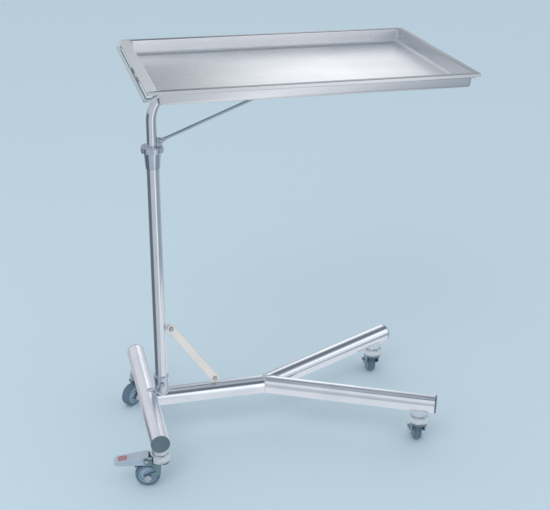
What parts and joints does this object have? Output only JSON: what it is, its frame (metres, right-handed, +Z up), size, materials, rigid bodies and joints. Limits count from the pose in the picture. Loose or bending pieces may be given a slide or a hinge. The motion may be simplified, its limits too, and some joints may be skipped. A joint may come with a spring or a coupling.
{
  "type": "mobile instrument tray stand",
  "caption": "Rolling stand on castors: a telescopic post bent over into an arm that carries a shallow rectangular steel tray, lifting off its rod frame.",
  "frame": {"origin": "middle of the stand's outline, on the floor", "axes": "+X from the post towards the free end of the tray, +Y to the back, +Z up"},
  "size_m": [0.6898, 0.41, 0.812],
  "materials": {
    "tray_steel": "polished stainless sheet",
    "frame_steel": "polished rod and strap",
    "tube_chrome": "bright chrome plate",
    "fitting_chrome": "bright chrome plate",
    "brace_steel": "satin steel",
    "castor_plate": "bright zinc plate",
    "fork_plate": "dark blue-grey passivated plate",
    "fastener_steel": "zinc plate",
    "tyre_rubber": "matt dark grey rubber",
    "hub_plastic": "moulded light grey",
    "cover_plastic": "moulded grey",
    "pedal_paint": "light grey enamel",
    "shoe_rubber": "matt",
    "guide_plastic": "natural nylon",
    "plug_plastic": "moulded dark grey"
  },
  "bodies": {
    "base": {"base_arm_far": "tube_chrome", "base_arm_near": "tube_chrome", "base_cross_tube": "tube_chrome", "base_end_plugs": "plug_plastic", "base_main_beam": "tube_chrome", "castor_bearing_balls": "fastener_steel", "castor_cup_far_left": "castor_plate", "castor_cup_far_right": "castor_plate", "castor_cup_near_left": "castor_plate", "castor_cup_near_right": "castor_plate", "castor_stem_far_left": "fastener_steel", "castor_stem_far_right": "fastener_steel", "castor_stem_near_left": "fastener_steel", "castor_stem_near_right": "fastener_steel", "clamp_sleeve": "fitting_chrome", "foot_socket_screw": "fastener_steel", "gusset_screws": "fastener_steel", "gusset_strut": "brace_steel", "gusset_tabs": "brace_steel", "outer_post": "tube_chrome", "post_foot_socket": "fitting_chrome"},
    "clamp_ring": {"clamp_ring": "fitting_chrome"},
    "clamp_collet": {"clamp_collet": "guide_plastic"},
    "support": {"arm_end_cap": "plug_plastic", "brace_lugs": "brace_steel", "brace_rod": "brace_steel", "brace_screws": "fastener_steel", "end_strap_screws": "fastener_steel", "far_strap_screws": "fastener_steel", "frame_end_bar": "frame_steel", "frame_end_strap": "frame_steel", "frame_far_strap": "frame_steel", "frame_rod": "frame_steel", "inner_guide_bush": "guide_plastic", "inner_tube_and_arm": "tube_chrome"},
    "tray": {"tray": "tray_steel"},
    "castor_near_left": {"castor_fork_near_left": "fork_plate", "castor_axle_near_left": "fastener_steel", "brake_pin": "fastener_steel"},
    "wheel_near_left": {"wheel_hub_near_left": "hub_plastic", "wheel_tyre_near_left": "tyre_rubber", "wheel_covers_near_left": "cover_plastic"},
    "castor_far_left": {"castor_fork_far_left": "fork_plate", "castor_axle_far_left": "fastener_steel"},
    "wheel_far_left": {"wheel_hub_far_left": "hub_plastic", "wheel_tyre_far_left": "tyre_rubber", "wheel_covers_far_left": "cover_plastic"},
    "castor_near_right": {"castor_fork_near_right": "fork_plate", "castor_axle_near_right": "fastener_steel"},
    "wheel_near_right": {"wheel_hub_near_right": "hub_plastic", "wheel_tyre_near_right": "tyre_rubber", "wheel_covers_near_right": "cover_plastic"},
    "castor_far_right": {"castor_fork_far_right": "fork_plate", "castor_axle_far_right": "fastener_steel"},
    "wheel_far_right": {"wheel_hub_far_right": "hub_plastic", "wheel_tyre_far_right": "tyre_rubber", "wheel_covers_far_right": "cover_plastic"},
    "brake_pedal": {"brake_pedal": "pedal_paint", "brake_shoe": "shoe_rubber"}
  },
  "joints": [
    {"name": "clamp_ring_turn", "type": "hinge", "parent": "base", "child": "clamp_ring", "pos_m": [-0.22409, 0, 0.64], "axis": [0, 0, 1], "range_deg": [0, 180]},
    {"name": "support_swivel", "type": "hinge", "parent": "base", "child": "clamp_collet", "pos_m": [-0.22409, 0, 0.64], "axis": [0, 0, 1], "continuous": true},
    {"name": "support_height", "type": "slide", "parent": "clamp_collet", "child": "support", "axis": [0, 0, 1], "range_m": [0, 0.38]},
    {"name": "tray_lift_off", "type": "slide", "parent": "support", "child": "tray", "axis": [0, 0, 1], "range_m": [0, 0.15]},
    {"name": "castor_swivel_near_left", "type": "hinge", "parent": "base", "child": "castor_near_left", "pos_m": [-0.25409, -0.163, 0.052], "axis": [0, 0, 1], "continuous": true},
    {"name": "wheel_spin_near_left", "type": "hinge", "parent": "castor_near_left", "child": "wheel_near_left", "pos_m": [-0.27885, -0.15952, 0.025], "axis": [0.1392, 0.9903, 0], "continuous": true},
    {"name": "castor_swivel_far_left", "type": "hinge", "parent": "base", "child": "castor_far_left", "pos_m": [-0.25409, 0.163, 0.052], "axis": [0, 0, 1], "continuous": true},
    {"name": "wheel_spin_far_left", "type": "hinge", "parent": "castor_far_left", "child": "wheel_far_left", "pos_m": [-0.27324, 0.14693, 0.025], "axis": [-0.6428, 0.766, 0], "continuous": true},
    {"name": "castor_swivel_near_right", "type": "hinge", "parent": "base", "child": "castor_near_right", "pos_m": [0.29717, -0.15017, 0.052], "axis": [0, 0, 1], "continuous": true},
    {"name": "wheel_spin_near_right", "type": "hinge", "parent": "castor_near_right", "child": "wheel_near_right", "pos_m": [0.30279, -0.12581, 0.025], "axis": [0.9744, -0.225, 0], "continuous": true},
    {"name": "castor_swivel_far_right", "type": "hinge", "parent": "base", "child": "castor_far_right", "pos_m": [0.29717, 0.15017, 0.052], "axis": [0, 0, 1], "continuous": true},
    {"name": "wheel_spin_far_right", "type": "hinge", "parent": "castor_far_right", "child": "wheel_far_right", "pos_m": [0.29978, 0.17503, 0.025], "axis": [0.9945, -0.1045, 0], "continuous": true},
    {"name": "brake_pedal_press", "type": "hinge", "parent": "castor_near_left", "child": "brake_pedal", "pos_m": [-0.28083, -0.15924, 0.062], "axis": [-0.1392, -0.9903, 0], "range_deg": [0, 12]}
  ]
}
